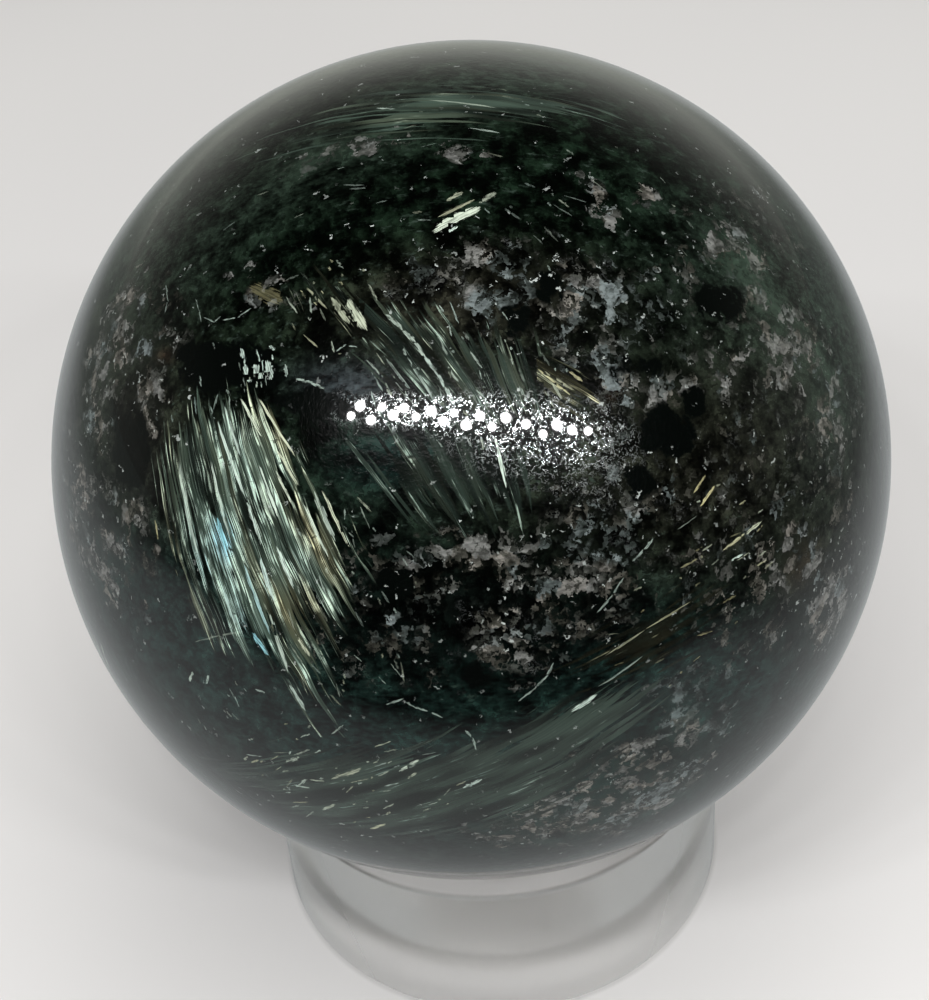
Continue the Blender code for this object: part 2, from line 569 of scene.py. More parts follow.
def focus_behind(middle, away, spread):
    """The focus that lies the spread, in radians, behind a place whose fibres head away from it."""
    return math.cos(spread) * middle - math.sin(spread) * away


def spray_from_view(fan):
    middle = spot(*fan.middle)
    focus = focus_behind(middle, heading(middle, spot(*fan.towards)), math.radians(fan.spread))
    patches = tuple(patch_from_view(oval) for oval in fan.ovals)
    return Spray(focus, patches, fan.glow, fan.gold, fan.blades, fan.silk)


def stroke_from_view(blade):
    start = spot(*blade.start)
    end = spot(*blade.end)
    middle = unit(start + end)
    along = (end - start) / 2 * BALL_MM
    pixel_mm = BALL_MM / OUTLINE_RADIUS
    across = unit(np.cross(middle, along)) * blade.width / 2 * pixel_mm
    return Stroke(middle, along, across, blade.glow, blade.gold)


def strokes_of_thread(thread):
    """The blades that a thread is made of, one from each pixel to the next."""
    pairs = zip(thread.points, thread.points[1:])
    strokes = [stroke_from_view(Blade(*pair, thread.width, thread.glow, thread.gold)) for pair in pairs]
    return [stroke._replace(along=stroke.along * THREAD_OVERLAP) for stroke in strokes]


def tangents(middle, turn):
    """Two square directions along the surface at a place, the first one turned by an angle."""
    side = unit(np.cross(middle, ASKEW))
    rise = np.cross(middle, side)
    first = side * math.cos(turn) + rise * math.sin(turn)
    return first, np.cross(middle, first)


def hidden_place(rng):
    """A place on the ball that the front view doesn't show well."""
    while True:
        place = unit(rng.normal(size=3))
        if place @ FRONT[:, 2] < HIDDEN_BELOW:
            return place


def hidden_patch(rng, smallest, largest):
    """An oval patch of a random size in millimetres on a hidden side."""
    middle = hidden_place(rng)
    side, rise = tangents(middle, rng.uniform(0, math.tau))
    wide = rng.uniform(smallest, largest)
    return Patch(middle, side * wide, rise * wide * rng.uniform(0.4, 0.9))


def hidden_spray(rng):
    """A spray on a hidden side, a few millimetres to a centimetre and a half long."""
    middle = hidden_place(rng)
    away, across = tangents(middle, rng.uniform(0, math.tau))
    focus = focus_behind(middle, away, rng.uniform(0.35, 1.0))
    long = rng.uniform(2.5, 8.0)
    patch = Patch(middle, away * long, across * long * rng.uniform(0.35, 0.6))
    strength = rng.uniform(0.5, 1.0)
    return Spray(focus, (patch,), strength, rng.uniform(0, 1), 0.7 * strength, strength)


def scattered_strokes(rng, middle, away, count, reach, glow, gold):
    """Short blades that lie nearly one way round a place, within a reach in millimetres."""
    strokes = []
    for _ in range(count):
        step = tangents(middle, rng.uniform(0, math.tau))[0] * reach * math.sqrt(rng.uniform(0, 1))
        place = unit(middle * BALL_MM + step)
        way = heading(place, unit(away + rng.normal(scale=0.2, size=3)))
        along = way * (0.1 + 0.7 * rng.uniform(0, 1) ** 2)
        across = np.cross(place, way) * rng.uniform(0.035, 0.085)
        brightness = glow * rng.uniform(0.3, 1.0)
        strokes.append(Stroke(place, along, across, brightness, gold + rng.uniform(-0.3, 0.3)))
    return strokes


def all_strokes(rng):
    strokes = [stroke_from_view(blade) for blade in BLADES]
    for thread in THREADS:
        strokes += strokes_of_thread(thread)
    for place, towards, *looks in FLECKS:
        middle = spot(*place)
        strokes += scattered_strokes(rng, middle, unit(spot(*towards) - middle), *looks)
    for _ in range(HIDDEN_FLECK_GROUPS):
        middle = hidden_place(rng)
        away = tangents(middle, rng.uniform(0, math.tau))[0]
        strokes += scattered_strokes(rng, middle, away, *HIDDEN_FLECKS, rng.uniform(0, 0.8))
    return strokes


def ball_grid():
    """Directions of a cube's grid points blown up to a ball, and its squares, seen from outside."""
    steps = BALL_SQUARES + 1
    first, second = np.meshgrid(np.arange(BALL_SQUARES), np.arange(BALL_SQUARES), indexing="ij")
    turn = ((0, 0), (1, 0), (1, 1), (0, 1))
    corners = np.stack([(first + a, second + b) for a, b in turn], axis=-1).reshape(2, -1, 4)
    squares = []
    for axis in range(3):
        for level, order in ((0, slice(None, None, -1)), (BALL_SQUARES, slice(None))):
            lattice = [None, None, None]
            lattice[axis] = np.full_like(corners[0], level)
            lattice[(axis + 1) % 3] = corners[0]
            lattice[(axis + 2) % 3] = corners[1]
            squares.append(np.stack(lattice, axis=-1)[:, order])
    lattice = np.concatenate(squares)
    keys = (lattice[..., 0] * steps + lattice[..., 1]) * steps + lattice[..., 2]
    used, faces = np.unique(keys, return_inverse=True)
    faces = faces.reshape(keys.shape)
    places = np.stack((used // steps**2, used // steps % steps, used % steps), axis=-1)
    cube = places / BALL_SQUARES * 2 - 1
    return unit(np.tan(cube * math.pi / 4)), faces


def octant_map(points, middles):
    """Map of the ball folded out as an eight-sided solid, its middle at the front of the view."""
    flat = points / np.abs(points).sum(axis=-1, keepdims=True)
    signs = np.where(middles >= 0, 1.0, -1.0)[:, None, :]
    folded = (1 - np.abs(flat[..., 1::-1])) * signs[..., :2]
    across = np.where(signs[..., 2:] > 0, flat[..., :2], folded)
    return 0.5 + across * (0.5 - MAP_INSET)


def put_attribute(mesh, name, domain, values):
    """Stores numbers or triples of numbers on a mesh under a name."""
    values = np.asarray(values, np.float32)
    kind, key = ("FLOAT", "value") if values.shape[-1] == 1 else ("FLOAT_VECTOR", "vector")
    mesh.attributes.new(name, kind, domain).data.foreach_set(key, values.ravel())


def ground_colors(ball, rng):
    """The ground's soft changes of colour for each direction, and how even it is there."""
    colors = np.tile(DEEP_GREEN, (len(ball), 1))
    calm = np.zeros((len(ball), 1))
    washes = [(patch_from_view(wash.oval), wash.color, wash.calm) for wash in WASHES]
    choices = (UMBER, TEAL, BLACK)
    for _ in range(HIDDEN_WASHES):
        washes.append((hidden_patch(rng, 5, 12), choices[rng.integers(len(choices))], 0.3))
    for patch, color, evenness in washes:
        share = np.exp(-patch_reach(ball, patch)[:, None] ** 2)
        colors = colors * (1 - share) + np.array(color) * share
        calm = calm * (1 - share) + evenness * share
    return colors, calm


def fibre_moods(ball):
    """Warmth and light that the moods add to the fibres, for each direction, and how much mica."""
    moods = np.zeros((len(ball), 3))
    for oval in MICA:
        moods[:, 2] += np.exp(-patch_reach(ball, patch_from_view(oval)) ** 2)
    for mood in MOODS:
        share = np.exp(-patch_reach(ball, patch_from_view(mood.oval)) ** 2)
        moods[:, 0] += mood.warmth * share
        moods[:, 1] += mood.light * share
    return moods


def lay_fans(corners, middles, rng):
    """Place, depth and looks of the fan that each square of the ball belongs to, for its corners."""
    sprays = [spray_from_view(fan) for fan in FANS] + [hidden_spray(rng) for _ in range(HIDDEN_SPRAYS)]
    depths = np.stack([deepest(middles, spray.patches) for spray in sprays])
    owner = depths.argmax(axis=0)
    owner[depths.max(axis=0) < -FAN_MARGIN_MM] = -1
    place = np.zeros(corners.shape)
    depth = np.full(corners.shape[:2] + (1,), -FAR_MM)
    looks = np.zeros(corners.shape)
    silk = np.zeros(corners.shape[:2] + (1,))
    for number, spray in enumerate(sprays):
        mine = owner == number
        points = corners[mine].reshape(-1, 3)
        if len(points) == 0:
            continue
        middle = spray.patches[0].middle
        ahead = unit(middle - spray.focus * (middle @ spray.focus))
        across = np.cross(spray.focus, ahead)
        spread = math.sqrt(1 - (middle @ spray.focus) ** 2)
        turn = np.arctan2(points @ across, points @ ahead) * spread
        reach = np.arccos(np.clip(points @ spray.focus, -1, 1))
        shift = np.full(len(points), number * FAN_SHIFT)
        place[mine] = np.stack((turn * BALL_MM, reach * BALL_MM, shift), axis=-1).reshape(-1, 4, 3)
        depth[mine] = deepest(points, spray.patches).reshape(-1, 4, 1)
        looks[mine] = (spray.gold, spray.glow, spray.blades)
        silk[mine] = spray.silk
    return place, depth, looks, silk


def lay_strokes(corners, middles, rng):
    """Place across and along the blade nearest to each square, for its corners, and its looks."""
    nearest = np.full(len(middles), BLADE_MARGIN_MM)
    place = np.full(corners.shape, FAR_MM)
    looks = np.zeros(corners.shape)
    for number, stroke in enumerate(all_strokes(rng)):
        half_long = np.linalg.norm(stroke.along)
        half_wide = np.linalg.norm(stroke.across)
        search = math.cos((half_long + BLADE_SEARCH_MM) / BALL_MM)
        near = np.flatnonzero(middles @ stroke.middle > search)
        ways = np.stack((stroke.across / half_wide**2, stroke.along / half_long**2), axis=1)
        spots = (middles[near] - stroke.middle) * BALL_MM @ ways
        beside = np.abs(spots[:, 0]) * half_wide
        beyond = (np.abs(spots[:, 1]) - 1) * half_long
        apart = np.maximum(beside, beyond)
        mine = near[apart < nearest[near]]
        nearest[mine] = apart[apart < nearest[near]]
        place[mine, :, :2] = (corners[mine] - stroke.middle) * BALL_MM @ ways
        place[mine, :, 2] = number * BLADE_SHIFT
        looks[mine] = (stroke.gold, stroke.glow, half_wide)
    return place, looks


def depth_map(ball, ovals, rng, hidden, smallest, largest):
    """Depth in the front view's ovals, and in patches of random sizes on the hidden sides."""
    patches = [patch_from_view(oval) for oval in ovals]
    patches += [hidden_patch(rng, smallest, largest) for _ in range(hidden)]
    return deepest(ball, patches)[:, None]


def put_in_scene(name, data):
    """A new object of a mesh, a light or a camera."""
    thing = bpy.data.objects.new(name, data)
    bpy.context.scene.collection.objects.link(thing)
    return thing


def hide_from(thing, *rays):
    """Keeps a thing out of what some kinds of ray see."""
    for ray in rays:
        setattr(thing, f"visible_{ray}", False)


def flat_thing(name, outline, height, finish):
    """A flat thing of one face inside an outline of x and y, which is no part of the object."""
    mesh = bpy.data.meshes.new(name)
    mesh.from_pydata([(x, y, 0.0) for x, y in outline], [], [tuple(range(len(outline)))])
    mesh.materials.append(finish)
    thing = put_in_scene(name, mesh)
    thing.location.z = height
    return thing


def build_stone():
    """The ball, with everything that its finish needs to know about each place stored on its mesh."""
    rng = np.random.default_rng(SEED)
    grid, faces = ball_grid()
    ball = grid @ FRONT.T
    mesh = bpy.data.meshes.new("polished_ball")
    mesh.from_pydata((ball * BALL_RADIUS).tolist(), [], faces.tolist())
    mesh.shade_smooth()
    corners = ball[faces]
    middles = unit(corners.mean(axis=1))
    flat_map = octant_map(grid[faces], grid[faces].mean(axis=1))
    mesh.uv_layers.new(name="OFBake").data.foreach_set("uv", flat_map.astype(np.float32).ravel())

    colors, calm = ground_colors(ball, rng)
    zones = depth_map(ball, MATRIX_ZONES, rng, HIDDEN_ZONES, 4, 9)
    pale = depth_map(ball, PALE_GRAINS, rng, HIDDEN_PALE, 0.7, 2.4)
    blue = depth_map(ball, BLUE_GRAINS, rng, HIDDEN_BLUE, 0.7, 2.4)
    black = depth_map(ball, BLACK_GRAINS, rng, HIDDEN_BLACK, 0.6, 2.4)
    points = {
        "ball_place": ball * BALL_MM,
        "ground_color": colors,
        "ground_calm": calm,
        "grain_depths": np.concatenate((pale, blue, black), axis=1),
        "matrix_depth": zones,
        "fibre_mood": fibre_moods(ball),
    }
    for name, values in points.items():
        put_attribute(mesh, name, "POINT", values)
    fans = lay_fans(corners, middles, rng)
    strokes = lay_strokes(corners, middles, rng)
    names = ("fan_place", "fan_depth", "fan_looks", "fan_silk", "blade_place", "blade_looks")
    for name, values in zip(names, fans + strokes):
        put_attribute(mesh, name, "CORNER", values)

    stone = put_in_scene("polished_ball", mesh)
    stone.location = BALL_CENTRE
    mesh.materials.append(stone_finish())
    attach(stone, "root")
    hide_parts("stone_sphere")
    return stone


class Wire:
    """One output of a node in a finish. Arithmetic on it adds Math nodes to that finish."""

    def __init__(self, finish, socket):
        self.finish = finish
        self.socket = socket

    def math(self, operation, *values):
        return self.finish.add("ShaderNodeMath", {"operation": operation}, dict(enumerate(values)))

    def __add__(self, other):
        return self.math("ADD", self, other)

    def __sub__(self, other):
        return self.math("SUBTRACT", self, other)

    def __rsub__(self, other):
        return self.math("SUBTRACT", other, self)

    def __mul__(self, other):
        return self.math("MULTIPLY", self, other)

    def __pow__(self, other):
        return self.math("POWER", self, other)

    def __abs__(self):
        return self.math("ABSOLUTE", self)

    def __neg__(self):
        return self.math("MULTIPLY", self, -1.0)

    __radd__ = __add__
    __rmul__ = __mul__


class Finish:
    """A material or a world in the making. Every node comes from add(), which gives back one output."""

    def __init__(self, owner, shader="Principled BSDF"):
        owner.use_nodes = True
        self.owner = owner
        self.tree = owner.node_tree
        self.shader = self.tree.nodes[shader]

    def add(self, kind, settings, sockets, output=0):
        node = self.tree.nodes.new(kind)
        for name, value in settings.items():
            if name == "stops":
                self.set_stops(node.color_ramp, value)
            else:
                setattr(node, name, value)
        for name, value in sockets.items():
            self.feed(node.inputs[name], value)
        return Wire(self, node.outputs[output])

    def set_stops(self, ramp, stops):
        while len(ramp.elements) < len(stops):
            ramp.elements.new(1.0)
        for element, (position, color) in zip(ramp.elements, stops):
            element.position = position
            element.color = tuple(color) + (1.0,)

    def feed(self, socket, value):
        if isinstance(value, Wire):
            self.tree.links.new(value.socket, socket)
        elif isinstance(value, tuple) and socket.type == "RGBA":
            socket.default_value = tuple(value) + (1.0,)
        else:
            socket.default_value = value

    def set(self, name, value):
        """Feeds one of the shader's own sockets."""
        self.feed(self.shader.inputs[name], value)

    def stored(self, name, output="Vector"):
        """What the mesh stores under a name."""
        return self.add("ShaderNodeAttribute", {"attribute_name": name}, {}, output)

    def split(self, vector):
        """The three parts of a vector."""
        first = self.add("ShaderNodeSeparateXYZ", {}, {0: vector})
        return tuple(Wire(self, socket) for socket in first.socket.node.outputs)

    def join(self, x, y, z=0.0):
        return self.add("ShaderNodeCombineXYZ", {}, {0: x, 1: y, 2: z})

    def noise(self, vector, scale, detail=2.0, roughness=0.5):
        sockets = {"Vector": vector, "Scale": scale, "Detail": detail, "Roughness": roughness}
        return self.add("ShaderNodeTexNoise", {}, sockets)

    def flat_noise(self, x, y, detail=1.0, roughness=0.5):
        """Noise over two numbers, which costs less than noise over a place."""
        sockets = {"Vector": self.join(x, y), "Scale": 1.0, "Detail": detail, "Roughness": roughness}
        return self.add("ShaderNodeTexNoise", {"noise_dimensions": "2D"}, sockets)

    def cells(self, vector, scale):
        """Three random numbers for the cell that holds a place."""
        sockets = {"Vector": vector, "Scale": scale}
        return self.split(self.add("ShaderNodeTexVoronoi", {}, sockets, "Color"))

    def flat_cells(self, x, y, feature, output):
        """The colour of long cells over two numbers, or how far their borders are."""
        sockets = {"Vector": self.join(x, y), "Scale": 1.0}
        settings = {"voronoi_dimensions": "2D", "feature": feature}
        return self.add("ShaderNodeTexVoronoi", settings, sockets, output)

    def ease(self, value, low, high, start=0.0, end=1.0):
        """A smooth change from start to end as the value goes from low to high."""
        sockets = {"Value": value, "From Min": low, "From Max": high, "To Min": start, "To Max": end}
        return self.add("ShaderNodeMapRange", {"interpolation_type": "SMOOTHSTEP"}, sockets)

    def ramp(self, value, stops):
        return self.add("ShaderNodeValToRGB", {"stops": stops}, {0: value}, "Color")

    def mix(self, share, first, second):
        """Second colour over the first, by a share from 0 to 1."""
        return self.add("ShaderNodeMix", {"data_type": "RGBA"}, {0: share, 6: first, 7: second}, 2)

    def vector_math(self, operation, sockets, output=0):
        return self.add("ShaderNodeVectorMath", {"operation": operation}, sockets, output)

    def product(self, color, filter_color):
        """A colour seen through a second one."""
        return self.vector_math("MULTIPLY", {0: color, 1: filter_color})

    def tint(self, color, strength):
        """A colour made brighter or darker."""
        return self.vector_math("SCALE", {0: color, 3: strength})

    def length(self, vector):
        return self.vector_math("LENGTH", {0: vector}, "Value")

    def place(self, frame="Object"):
        """Where a point lies in the piece's own frame, or what a world calls Generated."""
        return self.add("ShaderNodeTexCoord", {}, {}, frame)


def fibre_layer(finish):
    """The silky sprays: how strongly they show, their colour and painted sheen, and how much they
    shine.
    """
    ease, mix, noise = finish.ease, finish.mix, finish.flat_noise
    turn, reach, number = finish.split(finish.stored("fan_place"))
    depth = finish.stored("fan_depth", "Fac")
    gold, glow, share = finish.split(finish.stored("fan_looks"))
    silk = finish.stored("fan_silk", "Fac")
    warmth, light, _ = finish.split(finish.stored("fibre_mood"))

    # Fibres bend a little, and end at different places
    sway = noise(turn * 0.30 + number, reach * 0.22)
    bent = turn + (sway - 0.5) * 0.5 + number
    bundle = (bent * 2.9, reach * 0.13)
    shade, hue, chance = finish.split(finish.flat_cells(*bundle, "F1", "Color"))
    rims = finish.flat_cells(*bundle, "DISTANCE_TO_EDGE", "Distance")
    fray = noise(bent * 3.2, reach * 0.12)
    inside = ease(depth + (fray - 0.5) * 5.0 + (chance - 0.5) * 1.6, 0.0, 0.6)

    # Flat fibres, threads on them, hairs, and painted glints where they catch the light
    broad = noise(bent * 0.8, reach * 0.16)
    waves = noise(bent * 4.4, reach * 0.075, 1.5, 0.55)
    threads = ease(abs(waves - 0.5), 0.045, 0.006)
    finer = noise(bent * 8.0, reach * 0.12, 1.0, 0.6)
    fine_threads = ease(abs(finer - 0.5), 0.045, 0.006)
    hairs = noise(bent * 15.0, reach * 0.35, 0.0)
    flares = noise(bent * 1.5, reach * 0.42, 2.0, 0.6)
    flare = ease(flares + light * 0.14, 0.46, 0.70)
    rim = ease(rims, 0.10, 0.035)
    lit = ease(shade + share * 0.5 + light * 0.25, 0.55, 1.15)

    level = lit * (flare * 0.38 + 0.24) + threads * (flare * 0.75 + 0.20)
    level = level + fine_threads * (flare * 0.40 + 0.10) + rim * flare * 0.45
    level = level * ease(hairs, 0.28, 0.62, 0.5, 1.15) * ease(broad, 0.3, 0.6, 0.55, 1.1)

    # Dark gaps between them, and thin cracks across them
    gaps = ease(finer + (hairs - 0.5) * 0.35, 0.39, 0.51)
    split = ease(rims, 0.0, 0.03)
    steps = noise(bent * 0.8, reach * 1.5, 1.0, 0.55)
    cracks = ease(abs(steps - 0.5), 0.002, 0.012)
    cracked = ease(flares, 0.45, 0.55)
    open_gaps = gaps * split * (1 - (1 - cracks) * cracked * 0.8)

    tone = gold + (hue - 0.5) * 0.55 + warmth
    warm = ease(tone, 0.0, 1.0)
    icy = ease(-tone, 0.0, 1.0)
    pale = mix(warm, PALE_SILK_AND_SHEEN, GOLDEN_SILK_AND_SHEEN)
    pale = mix(icy, pale, ICY_SILK_AND_SHEEN)
    body = mix(warm, GREEN_BODY, GOLDEN_BODY)
    body = finish.tint(body, silk * ease(broad + light * 0.1, 0.3, 0.7, 0.3, 1.9))
    color = mix(ease(level * glow, 0.12, 1.0), body, pale)
    color = mix(open_gaps, finish.tint(body, 0.85 - glow * 0.30), color)
    return inside * ease(silk + glow, 0.0, 0.6), color, level * glow * open_gaps


def blade_layer(finish):
    """The lone bright blades: where they are, and their colour."""
    ease, mix = finish.ease, finish.mix
    across, along, number = finish.split(finish.stored("blade_place"))
    gold, glow, half_wide = finish.split(finish.stored("blade_looks"))
    wobble = finish.flat_noise(along * 2.4, number, 1.5, 0.6)
    streaks = finish.flat_noise(across * (half_wide * 14.0 + 0.3) + number, along * 1.3, 1.5, 0.6)
    slim = 1 - abs(along) ** 4.0
    shape = slim - abs(across + (wobble - 0.5) * 1.1) + (streaks - 0.5) * 1.6
    there = ease(shape, 0.0, 0.45)
    warm = mix(ease(gold, 0.0, 1.0), PALE_BLADES, GOLDEN_BLADES)
    color = mix(ease(-gold, 0.0, 1.0), warm, ICY_BLADES)
    strength = there * glow * ease(streaks, 0.35, 0.62, 0.35, 1.1)
    return strength, color


def stone_finish():
    """Polished rock: dark green ground, mauve-grey matrix, black grains, silky sprays and painted
    sparkles.
    """
    finish = Finish(bpy.data.materials.new("polished_astrophyllite"))
    ease, mix = finish.ease, finish.mix
    place = finish.stored("ball_place")
    _, _, mica = finish.split(finish.stored("fibre_mood"))

    # Crystals of two sizes with warped borders
    coarse = finish.noise(place, 0.55, 4.0, 0.68)
    lumps = finish.noise(place, 0.6, 3.0, 0.62)
    crumbs = finish.noise(place, 2.6, 2.0, 0.75)
    bend = finish.join(coarse * 2.2, lumps * 2.2 + crumbs * 0.8, crumbs * 0.9)
    warped = finish.vector_math("ADD", {0: place, 1: bend})
    large, hue, blueness = finish.cells(warped, 0.95)
    small = finish.cells(warped, 2.5)[0]

    # Ground
    streaky = finish.product(place, (0.42, 1.0, 1.0))
    fine = finish.noise(streaky, 2.6, 2.0, 0.68)
    calm = finish.stored("ground_calm", "Fac")
    lively = (ease(coarse, 0.36, 0.72) ** 1.6 * 2.9 + 0.10) * (small * 1.1 + 0.30)
    wander = (lumps - 0.5) * 3.4
    pale_depth, blue_depth, black_depth = finish.split(finish.stored("grain_depths"))
    haze = ease(pale_depth + wander * 0.5, -1.2, 0.8)
    even = ease(fine * 0.6 + coarse * 0.4, 0.38, 0.64, 0.10, 2.3) + haze * 3.4
    light = lively * (1 - calm) + even * (small * 0.4 + 0.8) * calm
    ground = finish.tint(finish.stored("ground_color"), light)
    flecks = ease(fine, 0.56, 0.76) * ease(coarse, 0.42, 0.60) * (1 - calm)
    color = mix(flecks * 0.65, ground, GREEN_FLECKS)

    # Sprays
    fibres, fibre_color, fibre_shine = fibre_layer(finish)
    color = mix(fibres, color, fibre_color)

    # Matrix: warped crystals of two sizes, paler in the clouds that the front view shows
    matrix = finish.stored("matrix_depth", "Fac")
    ragged = wander * 0.8 + (large - 0.5) * 1.0 + (small - 0.5) * 0.5
    zone = ease(matrix + wander + (large - 0.5) * 1.6, -0.3, 0.3)
    zone = zone * (1 - fibres) * (1 - calm**3.0 * 0.8)
    cloud = ease(pale_depth + ragged * 0.7, -1.6, 0.9)
    blue = ease(blue_depth + ragged * 0.7, -1.2, 0.8)
    black = ease(black_depth + ragged * 0.7, -0.15, 0.15) * (1 - fibres)
    grade = large * 0.38 + small * 0.36 + lumps * 0.46 + (crumbs - 0.5) * 0.28
    grade = (grade + cloud * 0.22 + blue * 0.12) * 0.95
    greys = finish.ramp(grade, CRYSTAL_GREYS)
    rock = mix(ease(hue, 0.55, 0.75), greys, finish.product(greys, BROWNISH))
    bluish = finish.product(greys, BLUISH)
    rock = mix(ease(blueness + blue * 0.8, 0.65, 0.9), rock, bluish)
    rock = finish.tint(rock, ease(fine, 0.32, 0.68, 0.62, 1.40))
    rock = mix(ease(grade, 0.82, 0.60, 0.0, 0.8), rock, finish.tint(ground, 0.9))
    color = mix(zone, color, rock)
    stray = ease(cloud + blue + (large - 0.5) * 0.4, 0.55, 0.75)
    color = mix(stray * (1 - fibres) * (1 - calm**3.0), color, rock)
    color = mix(black, color, BLACK)

    # Blades
    blades, blade_color = blade_layer(finish)
    color = mix(blades, color, blade_color)

    # Sparkles: the smallest crystals, painted pale as glints where they catch the light
    luck, size, _ = finish.cells(warped, 4.6)
    where = ease(matrix + wander, -2.5, 0.8)
    sparkle = ease(luck + where * 0.011, 0.991, 0.997) * ease(crumbs, 0.46, 0.54)
    sparkle = sparkle * (1 - calm * 0.9)
    color = mix(sparkle * (size * 0.7 + 0.3), color, SPARKLES)

    # Flakes of mica just below the polish: they show where a light is mirrored
    veins = finish.noise(place, 3.0, 2.0, 0.75)
    flakes = ease(abs(veins - 0.5), 0.040, 0.012) * ease(crumbs, 0.40, 0.55)
    flakes = flakes * ease(mica + zone * 0.10 + (lumps - 0.5) * 0.6, 0.1, 0.7) * (1 - black)
    color = mix(flakes * 0.8, color, MICA_FLAKES)

    finish.set("Base Color", color)
    shine = ease(fibre_shine * fibres + blades, 0.1, 0.8)
    finish.set("Metallic", ease(shine * 0.12 + flakes * 0.95, 0.0, 1.0))
    finish.set("Roughness", 0.26 + shine * 0.04 - flakes * 0.06)
    relief = {"Strength": 0.4, "Distance": 0.0002, "Height": veins * 0.4}
    finish.set("Normal", finish.add("ShaderNodeBump", {}, relief))
    finish.set("IOR", 1.5)
    finish.set("Specular IOR Level", 0.05)
    finish.set("Coat Weight", 0.9 - zone * 0.1)
    finish.set("Coat Roughness", 0.03)
    finish.set("Coat IOR", 1.5)
    return finish.owner


def rounded_corner(radius, height, turn_from, turn_to):
    """Points of a quarter round whose centre is at the given radius and height."""
    points = []
    for step in range(EDGE_ROUND_STEPS + 1):
        angle = turn_from + (turn_to - turn_from) * step / EDGE_ROUND_STEPS
        points.append((radius + EDGE_ROUND * math.cos(angle), height + EDGE_ROUND * math.sin(angle)))
    return points


def stand_outline():
    """Closed outline of the ring's wall, as radius and height, from the foot's inner edge outwards."""
    outer, _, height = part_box("ring_stand")[1]
    foot = [(BORE_RADIUS + FOOT_BEVEL, 0.0)]
    lower_edge = rounded_corner(outer - EDGE_ROUND, EDGE_ROUND, -math.pi / 2, 0.0)
    upper_edge = rounded_corner(outer - EDGE_ROUND, height - EDGE_ROUND, 0.0, math.pi / 2)
    seat_edge = [(SEAT_RADIUS, height)]
    bore_wall = [(BORE_RADIUS, height - (SEAT_RADIUS - BORE_RADIUS)), (BORE_RADIUS, FOOT_BEVEL)]
    return foot + lower_edge + upper_edge + seat_edge + bore_wall


def ring_mesh():
    """The ring's outline turned about Z."""
    radius, height = np.array(stand_outline()).T
    turn = np.arange(STAND_WALL_STEPS)[:, None] * math.tau / STAND_WALL_STEPS
    level = np.broadcast_to(height, (STAND_WALL_STEPS, len(height)))
    points = np.stack((radius * np.cos(turn), radius * np.sin(turn), level), axis=-1)
    here = np.arange(level.size).reshape(level.shape)
    ahead = np.roll(here, -1, axis=0)
    faces = np.stack((here, ahead, np.roll(ahead, -1, axis=1), np.roll(here, -1, axis=1)), axis=-1)
    mesh = bpy.data.meshes.new("acrylic_ring")
    mesh.from_pydata(points.reshape(-1, 3).tolist(), [], faces.reshape(-1, 4).tolist())
    mesh.shade_smooth()
    mesh.set_sharp_from_angle(angle=SHARP_ANGLE)
    return mesh


def build_stand():
    ring = put_in_scene("acrylic_ring", ring_mesh())
    ring.data.materials.append(acrylic_finish())
    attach(ring, "root")
    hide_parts("ring_stand")
    hide_from(ring, "shadow")


def acrylic_finish():
    """Clear cast acrylic, polished, with faint wipe marks."""
    finish = Finish(bpy.data.materials.new("clear_cast_acrylic"))
    marks = finish.noise(finish.place(), 900.0, 4.0, 0.6)
    finish.set("Base Color", ACRYLIC_COLOR)
    finish.set("Roughness", finish.ease(marks, 0.4, 0.7, 0.15, 0.20))
    finish.set("IOR", 1.49)
    finish.set("Transmission Weight", 0.70)
    return finish.owner


def floor_finish():
    """A pale matt table top, a little clouded, with a painted shadow under the rim of the ring's foot.
    """
    finish = Finish(bpy.data.materials.new("pale_table_top"))
    place = finish.place()
    cloud = finish.noise(place, 9.0, 1.0)
    color = finish.mix(finish.ease(cloud, 0.3, 0.7), *FLOOR_COLORS)
    out = finish.length(place)
    # Painted shadow of the ring's foot on the table
    foot = finish.ease(out, 0.0118, 0.0150) * finish.ease(out, 0.0175, 0.0180, 1.0, 0.0)
    finish.set("Base Color", finish.tint(color, 1 - foot * 0.22))
    finish.set("Roughness", 0.55)
    return finish.owner


def build_floor():
    corners = [(x * FLOOR_HALF, y * FLOOR_HALF) for x, y in ((-1, -1), (1, -1), (1, 1), (-1, 1))]
    floor = flat_thing("table_top", corners, FLOOR_HEIGHT, floor_finish())
    hide_from(floor, "glossy")
    return floor


def shade_card_finish():
    """Painted reflection: pale sheet, paler behind it, dark beside it and painted shade before it."""
    finish = Finish(bpy.data.materials.new("grey_shade_card"))
    x, y, _ = finish.split(finish.place())
    beside = finish.ease(x, 0.070, 0.140) + finish.ease(y * 0.6 - x, 0.130, 0.280)
    before = finish.ease(-y, 0.070, 0.120)
    outside = 1 - (1 - beside) * (1 - before)
    out = finish.length(finish.join(x, y))
    # Painted shadow of the ball on the sheet, darker right under it
    sheet = finish.tint(SHEET_GREY, finish.ease(out, 0.018, 0.050, 0.78, 1.0))
    # Painted shade before the ball, open table behind it
    rest = finish.mix(finish.ease(y, -0.06, 0.04), PAINTED_SHADE_BEFORE_BALL, OPEN_TABLE)
    far = finish.ease(y - abs(x) * 0.9, 0.0, 0.35)
    near = finish.mix(outside, sheet, rest)
    finish.set("Base Color", (0.0, 0.0, 0.0))
    finish.set("Specular IOR Level", 0.0)
    finish.set("Emission Color", finish.mix(far, near, FAR_TABLE))
    finish.set("Emission Strength", 1.0)
    return finish.owner


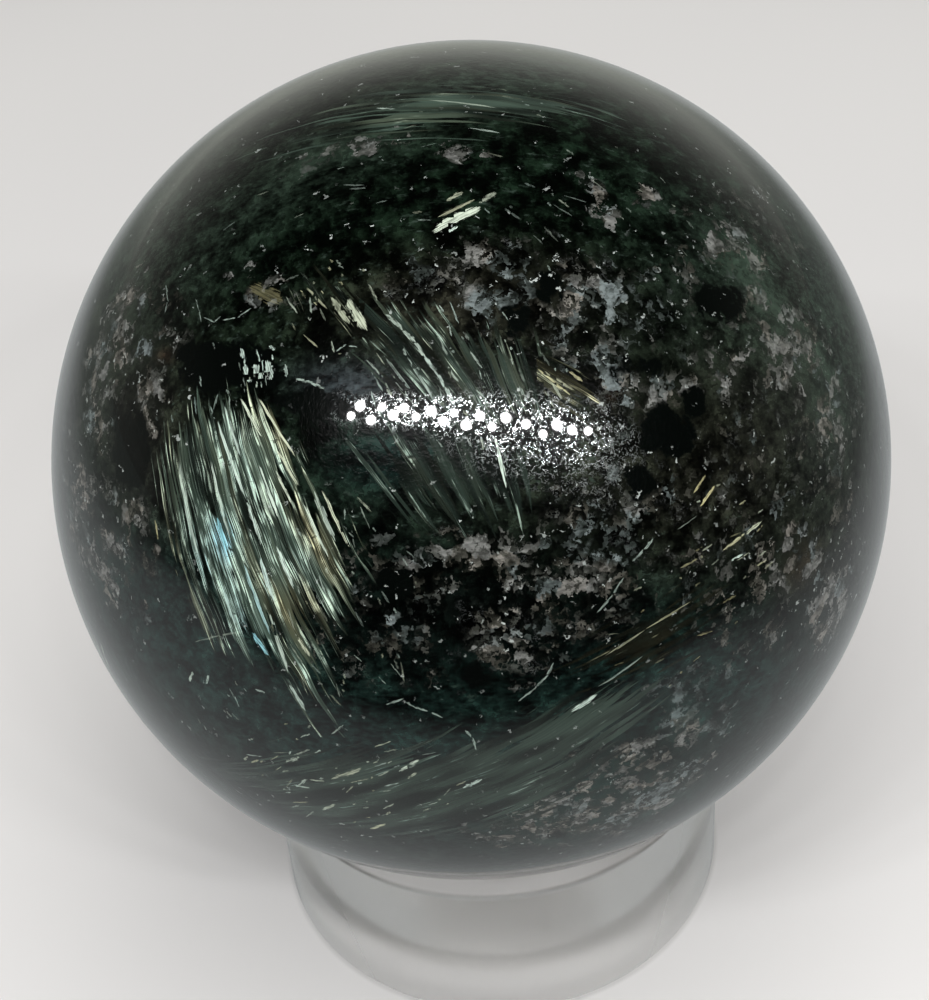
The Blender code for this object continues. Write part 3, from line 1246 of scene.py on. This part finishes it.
def build_shade_card():
    """A glowing card on the table, seen only in reflections: a painted reflection, dark beyond the pale
    sheet.
    """
    turns = [math.tau * step / CARD_STEPS for step in range(CARD_STEPS)]
    rim = [(CARD_RADIUS * math.cos(turn), CARD_RADIUS * math.sin(turn)) for turn in turns]
    card = flat_thing("shade_card", rim, CARD_HEIGHT, shade_card_finish())
    hide_from(card, "camera", "diffuse", "transmission", "shadow")


def add_light(name, kind, size, power, place, aim):
    """An area light of a shape and size that faces a point."""
    light = bpy.data.lights.new(name, "AREA")
    light.shape = kind
    light.size = size
    light.energy = power
    lamp = put_in_scene(name, light)
    lamp.location = place
    lamp.rotation_mode = "QUATERNION"
    lamp.rotation_quaternion = (Vector(aim) - Vector(place)).to_track_quat("-Z", "Y")
    return lamp


def mirrored_place(x, y):
    """Where a lamp hangs that the ball mirrors to a pixel of the front view."""
    normal = spot(x, y)
    surface = BALL_CENTRE + normal * BALL_RADIUS
    sight = unit(EYE - surface)
    return surface + (2 * (normal @ sight) * normal - sight) * LAMP_DISTANCE


def light_scene(*lit_things):
    """The lamp's two rows of small lights, a large soft light from above, and a dim room."""
    lit = bpy.data.collections.new("lit_by_the_lamp")
    for thing in lit_things:
        lit.objects.link(thing)
    for number, (x, y) in enumerate(LAMP_SPOTS):
        across = LAMP_DIAMETERS[number % len(LAMP_DIAMETERS)]
        place = mirrored_place(x, y)
        lamp = add_light(f"lamp_{number}", "DISK", across, LAMP_POWER, place, BALL_CENTRE)
        lamp.light_linking.receiver_collection = lit
        hide_from(lamp, "transmission")
    soft = add_light("soft_light", "SQUARE", SOFT_SIZE, SOFT_POWER, SOFT_PLACE, (0.0, 0.0, 0.0))
    soft.data.color = SOFT_COLOR
    hide_from(soft, "glossy", "transmission", "camera")
    build_room()


def build_room():
    """The dim room round the table: palest low down behind it, and darkest above."""
    room = Finish(bpy.data.worlds.new("dim_room"), "Background")
    x, y, z = room.split(room.place("Generated"))
    open_side = room.ease(y, -0.5, 0.3, 0.02, 1.0) * room.ease(x, -0.6, 0.2, 0.80, 1.0)
    open_side = open_side * room.ease(y - abs(x) * 0.9, -0.3, 0.45, 0.38, 1.0)
    stops = [(height, [level * part for part in ROOM_TINT]) for height, level in ROOM_GREYS]
    room.set("Color", room.tint(room.ramp(z, stops), open_side))
    bpy.context.scene.world = room.owner


def place_camera():
    camera = bpy.data.cameras.new("front_view")
    camera.sensor_width = SENSOR_MM
    camera.lens = SENSOR_MM * FOCAL_PIXELS / FRAME_HIGH
    camera.clip_start = CLIP_NEAR
    camera.clip_end = CLIP_FAR
    eye = put_in_scene("front_view", camera)
    eye.matrix_world = Matrix.Translation(Vector(EYE)) @ Matrix(EYE_AXES.tolist()).to_4x4()
    bpy.context.scene.camera = eye


ball = build_stone()
build_stand()
floor = build_floor()
build_shade_card()
light_scene(ball, floor)
place_camera()
bpy.context.scene.view_settings.view_transform = "Standard"
